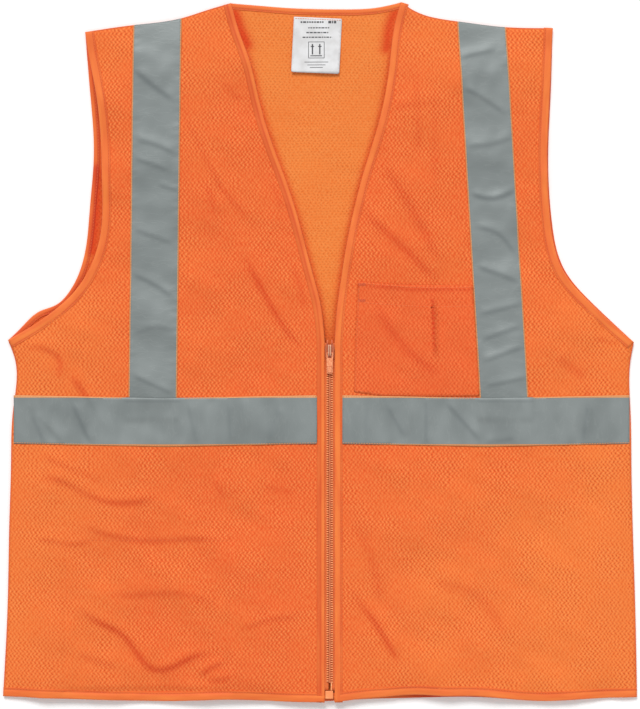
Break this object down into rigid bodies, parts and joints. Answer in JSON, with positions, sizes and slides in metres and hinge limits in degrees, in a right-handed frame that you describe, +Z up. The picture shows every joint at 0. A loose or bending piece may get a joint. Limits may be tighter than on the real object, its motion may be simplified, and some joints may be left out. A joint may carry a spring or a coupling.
{
  "type": "high-visibility mesh vest",
  "caption": "Sleeveless orange mesh safety vest with reflective tapes, bound edges, a front zip with slider and pull tab, a chest pocket, an inner pocket and a neck label, lying flat.",
  "frame": {"origin": "centre of the flat vest, on the surface it lies on", "axes": "+Y towards the collar, +X towards the wearer's left, +Z up out of the front"},
  "size_m": [0.6638, 0.7326, 0.0147],
  "materials": {
    "mesh": "fluorescent knitted polyester mesh",
    "binding": "smooth woven binding",
    "reflective_tape": "glass bead reflective tape",
    "zip_tape": "woven zip tape",
    "zip_plastic": "satin moulded",
    "slider_paint": "enamel",
    "pull_metal": "enamel, worn at the edges",
    "label_satin": "satin",
    "thread": "polyester thread"
  },
  "bodies": {
    "back": {"back_armhole_binding_left": "binding", "back_armhole_binding_right": "binding", "back_hem_binding": "binding", "back_neck_binding": "binding", "back_panel": "mesh", "back_tape_left": "reflective_tape", "back_tape_right": "reflective_tape", "back_waist_tape": "reflective_tape", "front_armhole_binding_left": "binding", "front_armhole_binding_right": "binding", "front_side_left": "mesh", "front_side_right": "mesh", "shoulder_seam_left": "binding", "shoulder_seam_right": "binding", "shoulder_tape_left": "reflective_tape", "shoulder_tape_right": "reflective_tape", "side_seam_left": "binding", "side_seam_right": "binding", "waist_tape_side_left": "reflective_tape", "waist_tape_side_right": "reflective_tape"},
    "front_right": {"front_flap_right": "mesh", "placket_right": "binding", "front_hem_right": "binding", "chest_tape_right": "reflective_tape", "waist_tape_right": "reflective_tape", "zip_tape_right": "zip_tape", "zip_teeth_right": "zip_plastic", "zip_top_stop_right": "zip_plastic", "zip_retaining_box": "zip_plastic", "inner_pocket": "mesh"},
    "front_left": {"front_flap_left": "mesh", "placket_left": "binding", "front_hem_left": "binding", "chest_tape_left": "reflective_tape", "waist_tape_left": "reflective_tape", "zip_tape_left": "zip_tape", "zip_teeth_left": "zip_plastic", "zip_top_stop_left": "zip_plastic", "zip_insertion_pin": "zip_plastic", "chest_pocket": "mesh", "chest_pocket_hem": "binding", "chest_pocket_bar_tacks": "thread"},
    "slider": {"slider_body": "slider_paint", "slider_bridge": "slider_paint"},
    "pull_tab": {"pull_tab": "pull_metal"},
    "label": {"neck_label": "label_satin"}
  },
  "joints": [
    {"name": "right_front_opening", "type": "hinge", "parent": "back", "child": "front_right", "pos_m": [-0.20495, -0.0005, 0.0126], "axis": [-0.2952, -0.9554, 0], "range_deg": [0, 174]},
    {"name": "left_front_opening", "type": "hinge", "parent": "back", "child": "front_left", "pos_m": [0.2018, 0, 0.0126], "axis": [-0.3035, 0.9528, 0], "range_deg": [0, 174]},
    {"name": "slider_travel", "type": "slide", "parent": "front_right", "child": "slider", "axis": [0, -1, 0], "range_m": [0, 0.347], "deforming": ["zip_teeth_right", "zip_teeth_left", "zip_tape_right", "zip_tape_left"]},
    {"name": "pull_tab_flip", "type": "hinge", "parent": "slider", "child": "pull_tab", "pos_m": [0.0104, -0.001, 0.0123], "axis": [-1, 0, 0], "range_deg": [0, 140]},
    {"name": "label_lift", "type": "hinge", "parent": "back", "child": "label", "pos_m": [-0.00185, 0.3501, 0.0022], "axis": [-0.999, 0.0437, 0], "range_deg": [0, 160]}
  ]
}
